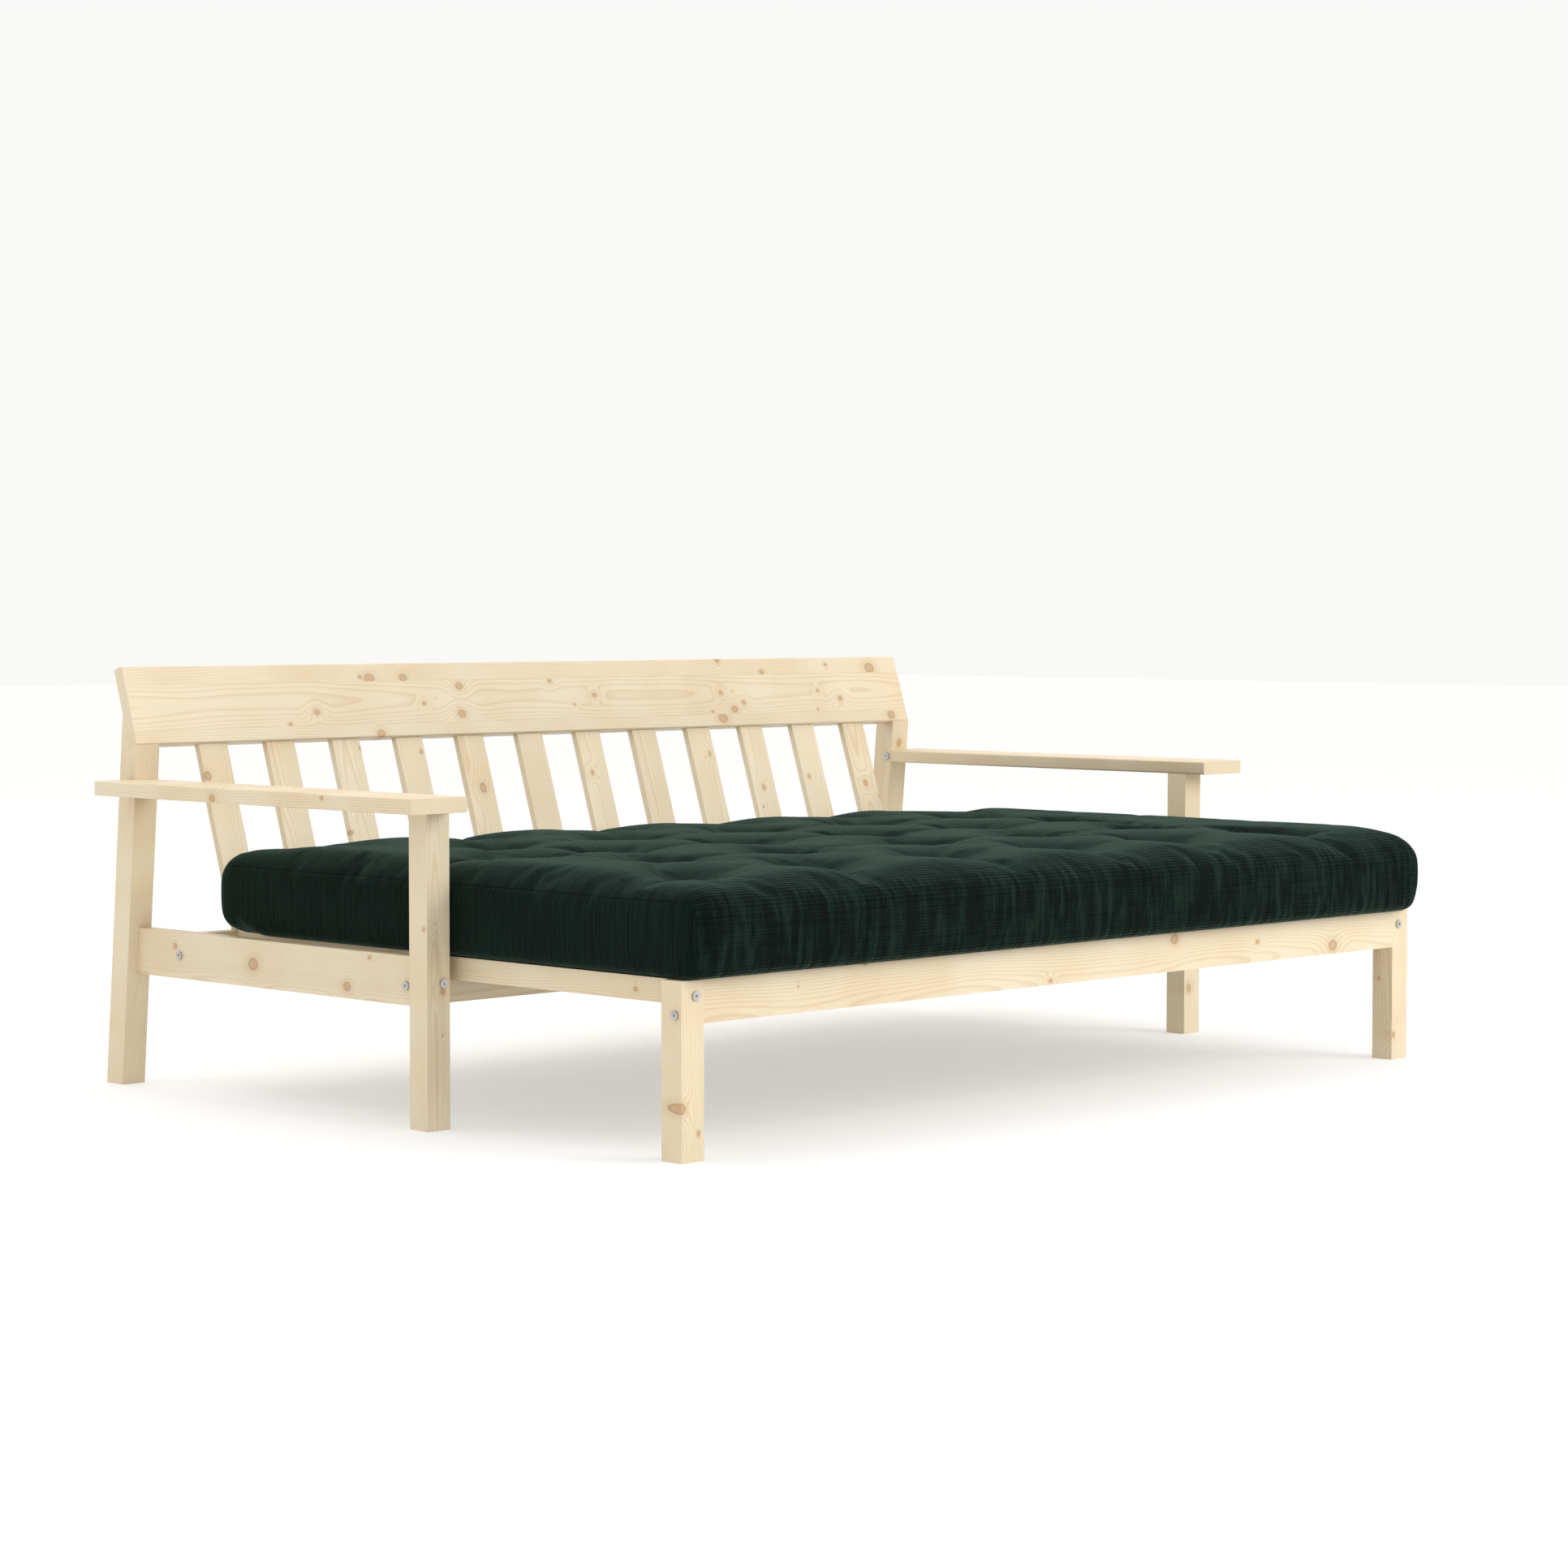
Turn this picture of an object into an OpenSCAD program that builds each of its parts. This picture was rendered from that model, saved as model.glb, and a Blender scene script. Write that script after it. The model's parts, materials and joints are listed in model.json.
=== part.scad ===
// Futon sofa bed of planed pine: a fixed frame with arms and a slatted back, a bed frame that
// pulls out of it on two legs, and one futon mattress. It is drawn pulled out, with the mattress
// flat. Left and right are as seen from the front, so right is +X. +Y is towards the back, and the
// floor is at Z = 0.

/* [Overall] */
// Width over the outer faces of the legs
frame_w = 2008; // [1500:1:2400]
// Height of the rails that the seat slats lie between
seat_h = 282; // [240:1:360]
// From the front of the arm posts to the rear cross rail
seat_depth = 692; // [560:1:860]
// Height of the top of the armrests
arm_h = 548; // [440:1:680]
// Lean of the backrest
back_angle = 18; // [10:0.5:26]
// Length of a back slat between the seat and the back plank
back_slat_len = 345; // [280:1:430]

/* [Fixed frame] */
// Width of a leg, across the sofa
post_w = 48; // [40:1:60]
// Depth of an arm post
post_d = 45; // [36:1:60]
// Thickness of every rail and ledger
rail_t = 28; // [22:1:36]
// Height of the side rails
side_rail_h = 82; // [70:1:110]
// From the front of the arm posts to the front cross rail
front_cross_y = 64; // [60:1:90]
// Lean of the rear legs
rear_leg_lean = 5; // [0:0.5:8]
// Depth of a rear leg, square to its length
rear_leg_d = 48; // [40:1:60]
// From the rear cross rail back to the front of a rear leg, at the floor
rear_leg_set = 162; // [140:1:200]
// Thickness of an armrest
arm_t = 26; // [20:1:34]
// How far an armrest reaches out over its leg
arm_out = 70; // [20:1:100]
// How far an armrest reaches forward of its post
arm_nose = 47; // [0:1:80]
// How much of the rear leg an armrest covers at its rear end
arm_lap = 24; // [16:1:32]
// Height of the back plank
plank_h = 146; // [100:1:200]
// Thickness of the back plank
plank_t = 24; // [22:1:36]
// Rounding of the edges of the plank and the armrests
edge_r = 4; // [2:0.5:8]

/* [Slats] */
// Number of seat slats in the fixed frame, and of back slats
slat_count = 12; // [8:1:12]
// Width of a slat
slat_w = 64; // [45:1:66]
// Thickness of a slat
slat_t = 13; // [10:1:18]
// From the inner face of a leg to the first slat
slat_margin = 89; // [84:1:120]
// How far the seat slats lie below the top of the rails
slat_drop = 3; // [0:0.5:8]
// How deep a back slat stands in the plank
mortise_d = 12; // [6:1:20]

/* [Pull-out frame] */
// Width of a pull-out leg, across the sofa
pull_leg_w = 48; // [40:1:60]
// Depth of a pull-out leg
pull_leg_d = 45; // [36:1:60]
// Gap between a pull-out leg and the arm post that it passes
pull_side_gap = 6; // [3:0.5:12]
// Height of the front rail
front_rail_h = 68; // [60:1:90]
// Height of the pull-out side rails
pull_rail_h = 38; // [30:1:46]
// How far a pull-out side rail lies in from the outer face of its leg
pull_rail_inset = 16; // [8:1:20]

/* [Mattress] */
// Thickness of the futon
futon_t = 150; // [100:5:180]
// How far the futon hangs over the front rail
futon_nose = 17; // [0:1:40]
// Gap between the futon and the arm posts, each side
futon_side_gap = 8; // [6:1:30]
// Gap between the futon's rear edge and the rear cross rail
futon_rear_gap = 43; // [35:1:80]
// Length of the part that folds up against the backrest
futon_back_len = 510; // [400:1:600]
// How far the folding part turns up
fold_angle = 75; // [70:1:80]
// Rounding of the futon's front edges
futon_front_r = 45; // [20:1:60]
// Rounding of the edge that swings past the backrest
futon_rear_r = 66; // [50:1:70]
// How far the futon lies above the rails
futon_lift = 0.2; // [0.1:0.1:1]

/* [Fasteners] */
// Diameter of the frame bolts
bolt_d = 6; // [5:1:8]
// Diameter of a bolt head
bolt_head_d = 15; // [12:0.5:18]
// Thickness of a bolt head
bolt_head_t = 2.6; // [1.5:0.1:4]
// Width across flats of a bolt's hexagon socket
socket_w = 4; // [3:1:5]
// How far a bolt reaches into a rail's end
bolt_grip = 30; // [26:1:40]
// Diameter of a barrel nut
nut_d = 10; // [9:1:12]
// Length of a barrel nut
nut_len = 14; // [10:1:18]
// Diameter of a dowel
dowel_d = 6; // [5:1:8]
// How far a dowel reaches into each piece
dowel_half = 18; // [12:1:20]
// Diameter of a wood screw
screw_d = 4; // [3:0.5:5]
// Diameter of a wood screw's head
screw_head_d = 8; // [6:0.5:10]
// How deep a wood screw reaches into the second piece
screw_bite = 20; // [14:1:21]

/* [Clearances] */
// Gap between the pull-out frame and what it slides on or stops at
slide_gap = 0.5; // [0.4:0.1:1]
// Gap beside a pull-out side rail in its notch
notch_gap = 4; // [2:1:8]
// Gap beside a pull-out slat in its relief
relief_gap = 1; // [0.5:0.5:3]
// Gap around a bolt, dowel, screw or tenon in its hole
hole_gap = 0.2; // [0.1:0.05:0.4]
// How far a bolt's hole runs on past its end
bolt_end_gap = 2; // [1:0.5:4]

/* [Hidden] */
$fn = 32;

PINE = "burlywood";
PINE_PALE = "wheat";
ZINC = "silver";
BEECH = "tan";
CORD = "darkgreen";

// How far a cut runs on past the piece that it is cut from
over = 1;
// Room left between the two stiff lengths of the futon when it is folded
fold_room = 3;
// Where two fasteners go across a width, as shares of it
pair = [0.27, 0.73];
// How much of the last piece a blind screw reaches into, as a share
blind = 0.75;
// Bolt heights on the pull-out legs, as shares of the side rail's and the front rail's height
pull_bolt_share = 0.35;
leg_bolt_share = 0.22;
// How much of a bolt head's thickness lies under its socket, as a share
socket_floor = 0.3;

// Fixed frame: X positions
outer_x = frame_w / 2;
inner_x = outer_x - post_w;
side_rail_x = inner_x + rail_t / 2;
// Fixed frame: heights
slat_top = seat_h - slat_drop;
slat_low = slat_top - slat_t;
rail_low = seat_h - side_rail_h;
arm_low = arm_h - arm_t;
// Fixed frame: Y positions, counted from the front of the arm posts
front_cross_rear = front_cross_y + rail_t;
rear_cross_mid = seat_depth + rail_t / 2;
ledger_y = seat_depth - rail_t;
rear_leg_y = seat_depth + rear_leg_set;
rear_leg_span = rear_leg_d / cos(rear_leg_lean);

// Pull-out frame. Closed, its legs are flush with the arm posts; open, its rear bar meets the
// front cross rail.
pull_top = seat_h - slide_gap;
pull_slat_top = slat_top - slide_gap;
pull_slat_low = pull_slat_top - slat_t;
pull_rail_low = pull_top - pull_rail_h;
pull_outer_x = inner_x - pull_side_gap;
pull_inner_x = pull_outer_x - pull_leg_w;
pull_rail_x = pull_outer_x - pull_rail_inset - rail_t;
bar_y = front_cross_rear + slide_gap;
bar_rear = bar_y + rail_t;
pull_travel = ledger_y - slide_gap - bar_rear;
pull_front = -pull_travel;
pull_leg_rear = pull_front + pull_leg_d;
front_rail_rear = pull_front + rail_t;

// Slats: the fixed ones are evenly spread, and a pull-out slat lies midway in each gap
first_slat_x = slat_margin - inner_x;
slat_pitch = (2 * (inner_x - slat_margin) - slat_w) / (slat_count - 1);

// Mattress
futon_low = seat_h + futon_lift;
futon_half = inner_x - futon_side_gap;
futon_front = pull_front - futon_nose;
futon_rear = seat_depth - futon_rear_gap;
fold_y = futon_rear - futon_back_len;
// Length of the soft fold on each side of the fold line, where the two parts would press together
futon_fold = futon_t * tan(fold_angle / 2) + fold_room;

// The object's base is centred on the origin: this is the middle of its depth
mid_y = (futon_front + rear_leg_y + rear_leg_span) / 2;

// Bolt heights
side_bolt_z = seat_h - side_rail_h / 2;
cross_bolt_z = pull_rail_low - slide_gap - nut_d;
pull_bolt_z = pull_rail_low + pull_bolt_share * pull_rail_h;
leg_bolt_z = pull_top - front_rail_h * (1 - leg_bolt_share);
bar_h = slat_low - slide_gap - pull_rail_low;
bar_bolt_z = pull_rail_low + bar_h / 2;
arm_bolt_z = arm_h - arm_t / 2;

// Wood screws
slat_screw_len = slat_t + screw_bite;
ledger_screw_len = rail_t + screw_bite;
bar_screw_len = slat_t + blind * bar_h;
screw_seat = plank_t / 2;
screw_up = plank_t;
screw_access = plank_t;
plank_screw_len = screw_seat + blind * plank_t;

function slat_x(i) = first_slat_x + i * slat_pitch;
function gap_slat_x(i) = slat_x(i) + slat_pitch / 2;
function leg_front_y(z) = rear_leg_y - z * tan(rear_leg_lean);

// Puts a piece in the object's own frame
module place() {
    translate([0, -mid_y, 0]) children();
}

// The same piece on the left, at side -1, or on the right, at side 1
module on_side(side) {
    if (side < 0) mirror([1, 0, 0]) children();
    else children();
}

// A board from one corner to the opposite one
module board(low, high) {
    translate(low) cube(high - low);
}

// A prism across the sofa, from x0 to x1, of an outline in Y and Z
module across(x0, x1) {
    translate([x0, 0, 0]) rotate([90, 0, 90]) linear_extrude(x1 - x0) children();
}

// The backrest's own frame: Y is through its thickness and Z runs up the slats
module in_back() {
    translate([0, rear_cross_mid, slat_top]) rotate([-back_angle, 0, 0]) children();
}

// A rectangle with rounded corners, made of exact arcs
module soft_rect(low, high, r) {
    translate([low[0] + r, low[1]]) square([high[0] - low[0] - 2 * r, high[1] - low[1]]);
    translate([low[0], low[1] + r]) square([high[0] - low[0], high[1] - low[1] - 2 * r]);
    for (x = [low[0] + r, high[0] - r], y = [low[1] + r, high[1] - r])
        translate([x, y]) circle(r);
}

// A bolt along +Z: its head stands on the XY plane and its shaft reaches down
module bolt(len) {
    translate([0, 0, -len]) cylinder(d = bolt_d, h = len);
    difference() {
        cylinder(d = bolt_head_d, h = bolt_head_t);
        translate([0, 0, bolt_head_t * socket_floor])
            cylinder(d = socket_w / cos(30), h = bolt_head_t, $fn = 6);
    }
}

// The hole that a bolt's shaft runs in
module bolt_hole(len) {
    translate([0, 0, -len - bolt_end_gap])
        cylinder(d = bolt_d + 2 * hole_gap, h = len + bolt_end_gap + over);
}

// A barrel nut along Z, drilled for its bolt, which runs along X
module barrel_nut() {
    difference() {
        cylinder(d = nut_d, h = nut_len, center = true);
        rotate([0, 90, 0]) cylinder(d = bolt_d + 2 * hole_gap, h = nut_d * 2, center = true);
    }
}

// The hole that a barrel nut is pushed into, from a face at height face_z above its middle
module nut_hole(face_z) {
    translate([0, 0, -nut_len / 2 - over])
        cylinder(d = nut_d + 2 * hole_gap, h = face_z + nut_len / 2 + 2 * over);
}

// A countersunk screw with its head flush at Z = 0, pointing down
module wood_screw(len) {
    translate([0, 0, -len]) cylinder(d = screw_d, h = len);
    translate([0, 0, -screw_head_d / 4]) cylinder(d = screw_head_d, h = screw_head_d / 4);
}

// The hole for a countersunk screw, open for a length of access above its head
module screw_hole(len, access = over) {
    translate([0, 0, -len - over]) cylinder(d = screw_d + 2 * hole_gap, h = len + 2 * over);
    translate([0, 0, -screw_head_d / 4 - hole_gap])
        cylinder(d = screw_head_d + 2 * hole_gap, h = screw_head_d / 4 + hole_gap + access);
}

module dowel() {
    cylinder(d = dowel_d, h = 2 * dowel_half, center = true);
}

module dowel_hole() {
    cylinder(d = dowel_d + 2 * hole_gap, h = 2 * dowel_half + 2 * hole_gap, center = true);
}

// ---- Where the fasteners of the fixed frame go, on the right-hand side ----

// Arm post into the end of the side rail
module at_post_bolt() {
    translate([side_rail_x, 0, side_bolt_z]) rotate([90, 0, 0]) children();
}

// Rear leg into the other end of the side rail, square to the leg
module at_leg_bolt() {
    y = leg_front_y(side_bolt_z) + rear_leg_span;
    translate([side_rail_x, y, side_bolt_z]) rotate([rear_leg_lean - 90, 0, 0]) children();
}

// Side rail into the end of the front cross rail
module at_front_cross_bolt() {
    translate([inner_x + rail_t, front_cross_y + rail_t / 2, cross_bolt_z])
        rotate([0, 90, 0]) children();
}

// Side rail into the end of the rear cross rail
module at_rear_cross_bolt() {
    translate([inner_x + rail_t, rear_cross_mid, side_bolt_z]) rotate([0, 90, 0]) children();
}

// Inner face of the rear leg into the lapped end of the armrest
module at_arm_bolt() {
    y = leg_front_y(arm_bolt_z) + arm_lap / 2;
    translate([inner_x, y, arm_bolt_z]) rotate([0, -90, 0]) children();
}

// Barrel nuts: each is square to its bolt and lies in the rail's end
module at_post_nut() {
    y = post_d + bolt_grip - nut_d;
    translate([side_rail_x, y, side_bolt_z]) rotate([0, -90, 0]) rotate([0, 0, 90]) children();
}

module at_leg_nut() {
    at_leg_bolt() translate([0, 0, nut_d - rear_leg_d - bolt_grip]) rotate([0, -90, 0]) children();
}

module at_front_cross_nut() {
    translate([inner_x - bolt_grip + nut_d, front_cross_y + rail_t / 2, cross_bolt_z])
        rotate([-90, 0, 0]) children();
}

module at_rear_cross_nut() {
    translate([inner_x - bolt_grip + nut_d, rear_cross_mid, side_bolt_z])
        rotate([-90, 0, 0]) children();
}

// Dowels from the arm post up into the armrest
module at_arm_dowels() {
    for (share = pair)
        translate([outer_x - post_w / 2, share * post_d, arm_low]) children();
}

// Screws through the rear leg's slanted top into the plank, in holes open to the back
module at_plank_screws() {
    for (share = pair) in_back()
        translate([inner_x + share * post_w, plank_t / 2 + screw_seat, back_slat_len + screw_up])
            rotate([-90, 0, 0]) children();
}

// Screws through the ledger into the rear cross rail
module at_ledger_screws() {
    for (i = [0 : 2 : slat_count - 2])
        translate([gap_slat_x(i), ledger_y, slat_low - rail_t / 2]) rotate([90, 0, 0]) children();
}

// Screws down through both ends of every fixed seat slat
module at_seat_slat_screws() {
    for (i = [0 : slat_count - 1], y = [front_cross_y + rail_t / 2, ledger_y + rail_t / 2])
        translate([slat_x(i) + slat_w / 2, y, slat_top]) children();
}

// ---- Fixed frame ----

module arm_post(side) {
    color(PINE) place() on_side(side) difference() {
        board([inner_x, 0, 0], [outer_x, post_d, arm_low]);
        at_post_bolt() bolt_hole(post_d + bolt_grip);
        at_arm_dowels() dowel_hole();
    }
}

// The outline of a leaning rear leg, before its top is cut for the plank
module leg_outline() {
    top_z = arm_h + back_slat_len;
    polygon([
        [rear_leg_y, 0],
        [rear_leg_y + rear_leg_span, 0],
        [leg_front_y(top_z) + rear_leg_span, top_z],
        [leg_front_y(top_z), top_z]
    ]);
}

// What the plank takes out of the leg, in the outline's Y and Z
module plank_cut() {
    reach = 10 * plank_h;
    translate([rear_cross_mid, slat_top]) rotate(-back_angle)
        translate([plank_t / 2 - reach, back_slat_len]) square([reach, reach]);
}

module rear_leg(side) {
    color(PINE) place() on_side(side) difference() {
        across(inner_x, outer_x) difference() {
            leg_outline();
            plank_cut();
        }
        at_leg_bolt() bolt_hole(rear_leg_d + bolt_grip);
        at_arm_bolt() bolt_hole(post_w + bolt_grip);
        at_plank_screws() screw_hole(plank_screw_len, screw_access);
    }
}

module side_rail(side) {
    color(PINE_PALE) place() on_side(side) difference() {
        across(inner_x, inner_x + rail_t) polygon([
            [post_d, rail_low],
            [leg_front_y(rail_low), rail_low],
            [leg_front_y(seat_h), seat_h],
            [post_d, seat_h]
        ]);
        at_post_bolt() bolt_hole(post_d + bolt_grip);
        at_leg_bolt() bolt_hole(rear_leg_d + bolt_grip);
        at_front_cross_bolt() bolt_hole(rail_t + bolt_grip);
        at_rear_cross_bolt() bolt_hole(rail_t + bolt_grip);
        at_post_nut() nut_hole(rail_t / 2);
        at_leg_nut() nut_hole(rail_t / 2);
    }
}

// The armrest ends at the front of the rear leg, and its outer part laps the leg's outer face
module armrest(side) {
    lap_y = leg_front_y(arm_bolt_z) + arm_lap;
    color(PINE_PALE) place() on_side(side) difference() {
        translate([0, lap_y, 0]) rotate([90, 0, 0]) linear_extrude(lap_y + arm_nose)
            soft_rect([inner_x, arm_low], [outer_x + arm_out, arm_h], edge_r);
        across(inner_x - over, outer_x) polygon([
            [leg_front_y(arm_low - over), arm_low - over],
            [lap_y + over, arm_low - over],
            [lap_y + over, arm_h + over],
            [leg_front_y(arm_h + over), arm_h + over]
        ]);
        at_arm_bolt() bolt_hole(post_w + bolt_grip);
        at_arm_dowels() dowel_hole();
    }
}

module back_plank() {
    color(PINE_PALE) place() difference() {
        in_back() across(-outer_x, outer_x)
            soft_rect([-plank_t / 2, back_slat_len], [plank_t / 2, back_slat_len + plank_h], edge_r);
        for (i = [0 : slat_count - 1]) in_back() board(
            [slat_x(i) - hole_gap, -slat_t / 2 - hole_gap, back_slat_len - over],
            [slat_x(i) + slat_w + hole_gap, slat_t / 2 + hole_gap,
                back_slat_len + mortise_d + hole_gap]
        );
        for (side = [-1, 1]) on_side(side) at_plank_screws() screw_hole(plank_screw_len);
    }
}

module back_slat(i) {
    foot = slat_t * tan(back_angle);
    color(PINE) place() difference() {
        in_back() board(
            [slat_x(i), -slat_t / 2, -foot],
            [slat_x(i) + slat_w, slat_t / 2, back_slat_len + mortise_d]
        );
        board([slat_x(i) - over, seat_depth - slat_t, slat_low - slat_t],
            [slat_x(i) + slat_w + over, seat_depth + 2 * rail_t, slat_top]);
        in_back() translate([slat_x(i) + slat_w / 2, 0, 0]) dowel_hole();
    }
}

module rear_cross_rail() {
    color(PINE) place() difference() {
        board([-inner_x, seat_depth, rail_low], [inner_x, seat_depth + rail_t, slat_top]);
        for (side = [-1, 1]) on_side(side) {
            at_rear_cross_bolt() bolt_hole(rail_t + bolt_grip);
            at_rear_cross_nut() nut_hole(rail_t / 2);
        }
        for (i = [0 : slat_count - 1])
            in_back() translate([slat_x(i) + slat_w / 2, 0, 0]) dowel_hole();
        at_ledger_screws() screw_hole(ledger_screw_len);
    }
}

// Notched at its ends for the pull-out side rails, and relieved under every pull-out slat
module front_cross_rail() {
    notch_x = pull_rail_x - notch_gap;
    color(PINE) place() difference() {
        board([-inner_x, front_cross_y, rail_low], [inner_x, front_cross_rear, slat_low]);
        for (side = [-1, 1]) on_side(side) {
            board([notch_x, front_cross_y - over, pull_rail_low - slide_gap],
                [inner_x + over, front_cross_rear + over, seat_h]);
            at_front_cross_bolt() bolt_hole(rail_t + bolt_grip);
            at_front_cross_nut() nut_hole(rail_t / 2);
        }
        for (i = [0 : slat_count - 2]) board(
            [gap_slat_x(i) - relief_gap, front_cross_y - over, pull_slat_low - slide_gap],
            [gap_slat_x(i) + slat_w + relief_gap, front_cross_rear + over, seat_h]
        );
        at_seat_slat_screws() screw_hole(slat_screw_len);
    }
}

module rear_slat_ledger() {
    color(PINE) place() difference() {
        board([first_slat_x, ledger_y, slat_low - rail_t], [-first_slat_x, seat_depth, slat_low]);
        at_seat_slat_screws() screw_hole(slat_screw_len);
        at_ledger_screws() screw_hole(ledger_screw_len);
    }
}

module fixed_seat_slats() {
    color(PINE_PALE) place() difference() {
        for (i = [0 : slat_count - 1])
            board([slat_x(i), front_cross_y, slat_low], [slat_x(i) + slat_w, seat_depth, slat_top]);
        at_seat_slat_screws() screw_hole(slat_screw_len);
    }
}

// ---- Fasteners of the fixed frame ----

module back_slat_dowels() {
    color(BEECH) place() for (i = [0 : slat_count - 1])
        in_back() translate([slat_x(i) + slat_w / 2, 0, 0]) dowel();
}

module armrest_dowels() {
    color(BEECH) place() for (side = [-1, 1]) on_side(side) at_arm_dowels() dowel();
}

module frame_bolts() {
    color(ZINC) place() for (side = [-1, 1]) on_side(side) {
        at_post_bolt() bolt(post_d + bolt_grip);
        at_leg_bolt() bolt(rear_leg_d + bolt_grip);
        at_front_cross_bolt() bolt(rail_t + bolt_grip);
        at_rear_cross_bolt() bolt(rail_t + bolt_grip);
        at_arm_bolt() bolt(post_w + bolt_grip);
    }
}

module frame_barrel_nuts() {
    color(ZINC) place() for (side = [-1, 1]) on_side(side) {
        at_post_nut() barrel_nut();
        at_leg_nut() barrel_nut();
        at_front_cross_nut() barrel_nut();
        at_rear_cross_nut() barrel_nut();
    }
}

module frame_wood_screws() {
    color(ZINC) place() {
        at_seat_slat_screws() wood_screw(slat_screw_len);
        at_ledger_screws() wood_screw(ledger_screw_len);
        for (side = [-1, 1]) on_side(side) at_plank_screws() wood_screw(plank_screw_len);
    }
}

// ---- Where the fasteners of the pull-out frame go, on the right-hand side ----

module at_pull_post_bolt() {
    translate([pull_rail_x + rail_t / 2, pull_front, pull_bolt_z]) rotate([90, 0, 0]) children();
}

module at_pull_leg_bolt() {
    translate([pull_outer_x, pull_front + rail_t / 2, leg_bolt_z]) rotate([0, 90, 0]) children();
}

module at_bar_bolt() {
    translate([pull_rail_x + rail_t, bar_y + rail_t / 2, bar_bolt_z])
        rotate([0, 90, 0]) children();
}

module at_pull_post_nut() {
    translate([pull_rail_x + rail_t / 2, pull_leg_rear + bolt_grip - nut_d, pull_bolt_z])
        rotate([0, -90, 0]) rotate([0, 0, 90]) children();
}

module at_pull_leg_nut() {
    translate([pull_inner_x - bolt_grip + nut_d, pull_front + rail_t / 2, leg_bolt_z])
        rotate([-90, 0, 0]) children();
}

module at_bar_nut() {
    translate([pull_rail_x - bolt_grip + nut_d, bar_y + rail_t / 2, bar_bolt_z])
        rotate([-90, 0, 0]) children();
}

module at_pull_slat_screws() {
    for (i = [0 : slat_count - 2], y = [front_rail_rear + rail_t / 2, bar_y + rail_t / 2])
        translate([gap_slat_x(i) + slat_w / 2, y, pull_slat_top]) children();
}

module at_pull_ledger_screws() {
    for (i = [1 : 2 : slat_count - 2])
        translate([slat_x(i) + slat_w / 2, front_rail_rear + rail_t, pull_slat_low - rail_t / 2])
            rotate([-90, 0, 0]) children();
}

// ---- Pull-out frame ----

module pullout_leg(side) {
    color(PINE) place() on_side(side) difference() {
        board([pull_inner_x, pull_front, 0], [pull_outer_x, pull_leg_rear, pull_top]);
        at_pull_post_bolt() bolt_hole(pull_leg_d + bolt_grip);
        at_pull_leg_bolt() bolt_hole(pull_leg_w + bolt_grip);
    }
}

module pullout_front_rail() {
    color(PINE_PALE) place() difference() {
        board([-pull_inner_x, pull_front, pull_top - front_rail_h],
            [pull_inner_x, front_rail_rear, pull_top]);
        for (side = [-1, 1]) on_side(side) {
            at_pull_leg_bolt() bolt_hole(pull_leg_w + bolt_grip);
            at_pull_leg_nut() nut_hole(rail_t / 2);
        }
        at_pull_ledger_screws() screw_hole(ledger_screw_len);
    }
}

module pullout_slat_ledger() {
    color(PINE) place() difference() {
        board([first_slat_x, front_rail_rear, pull_slat_low - rail_t],
            [-first_slat_x, front_rail_rear + rail_t, pull_slat_low]);
        at_pull_slat_screws() screw_hole(bar_screw_len);
        at_pull_ledger_screws() screw_hole(ledger_screw_len);
    }
}

module pullout_side_rail(side) {
    color(PINE_PALE) place() on_side(side) difference() {
        board([pull_rail_x, pull_leg_rear, pull_rail_low], [pull_rail_x + rail_t, bar_rear, pull_top]);
        at_pull_post_bolt() bolt_hole(pull_leg_d + bolt_grip);
        at_pull_post_nut() nut_hole(rail_t / 2);
        at_bar_bolt() bolt_hole(rail_t + bolt_grip);
    }
}

module pullout_rear_bar() {
    color(PINE) place() difference() {
        board([-pull_rail_x, bar_y, pull_rail_low], [pull_rail_x, bar_rear, pull_rail_low + bar_h]);
        for (side = [-1, 1]) on_side(side) {
            at_bar_bolt() bolt_hole(rail_t + bolt_grip);
            at_bar_nut() nut_hole(rail_t / 2);
        }
        at_pull_slat_screws() screw_hole(bar_screw_len);
    }
}

module pullout_slat(i) {
    color(PINE_PALE) place() difference() {
        board([gap_slat_x(i), front_rail_rear, pull_slat_low],
            [gap_slat_x(i) + slat_w, bar_rear, pull_slat_top]);
        at_pull_slat_screws() screw_hole(bar_screw_len);
    }
}

module pullout_bolts() {
    color(ZINC) place() for (side = [-1, 1]) on_side(side) {
        at_pull_post_bolt() bolt(pull_leg_d + bolt_grip);
        at_pull_leg_bolt() bolt(pull_leg_w + bolt_grip);
        at_bar_bolt() bolt(rail_t + bolt_grip);
    }
}

module pullout_barrel_nuts() {
    color(ZINC) place() for (side = [-1, 1]) on_side(side) {
        at_pull_post_nut() barrel_nut();
        at_pull_leg_nut() barrel_nut();
        at_bar_nut() barrel_nut();
    }
}

module pullout_wood_screws() {
    color(ZINC) place() {
        at_pull_slat_screws() wood_screw(bar_screw_len);
        at_pull_ledger_screws() wood_screw(ledger_screw_len);
    }
}

// ---- Futon mattress: the seat part, the soft fold and the part that swings up ----

module futon_slab() {
    across(-futon_half, futon_half) children();
}

module mattress_seat() {
    top = futon_low + futon_t;
    color(CORD) place() futon_slab() intersection() {
        soft_rect([futon_front, futon_low], [fold_y, top], futon_front_r);
        translate([futon_front, futon_low]) square([fold_y - futon_fold - futon_front, futon_t]);
    }
}

module mattress_fold() {
    color(CORD) place() futon_slab()
        translate([fold_y - futon_fold, futon_low]) square([2 * futon_fold, futon_t]);
}

module mattress_back() {
    top = futon_low + futon_t;
    color(CORD) place() futon_slab() intersection() {
        soft_rect([fold_y, futon_low], [futon_rear, top], futon_rear_r);
        translate([fold_y + futon_fold, futon_low])
            square([futon_back_len - futon_fold, futon_t]);
    }
}

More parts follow.
